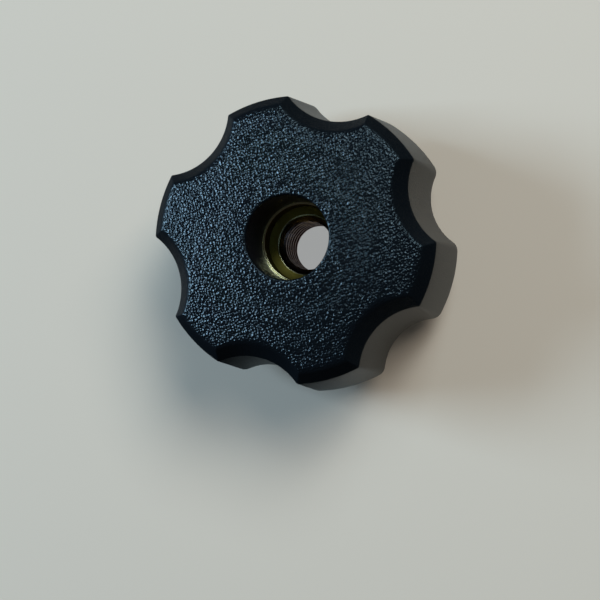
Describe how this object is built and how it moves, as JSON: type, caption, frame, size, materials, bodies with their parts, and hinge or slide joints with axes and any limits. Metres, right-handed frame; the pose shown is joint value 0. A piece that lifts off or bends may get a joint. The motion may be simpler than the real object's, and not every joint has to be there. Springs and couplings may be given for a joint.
{
  "type": "star knob",
  "caption": "Lobed star hand knob of black moulded plastic with a through-bored threaded metal insert and a cored-out back.",
  "frame": {"origin": "centre of the boss end face, where the knob clamps and rests", "axes": "+Z along the thread axis, from the boss end to the crown; a lobe points along +Y"},
  "size_m": [0.0382, 0.04, 0.0208],
  "materials": {
    "black_plastic": "fine leather grain on the crown, satin sides",
    "insert_metal": "turned, slightly tarnished"
  },
  "bodies": {
    "root": {"knob_body": "black_plastic", "threaded_insert": "insert_metal"}
  },
  "joints": []
}
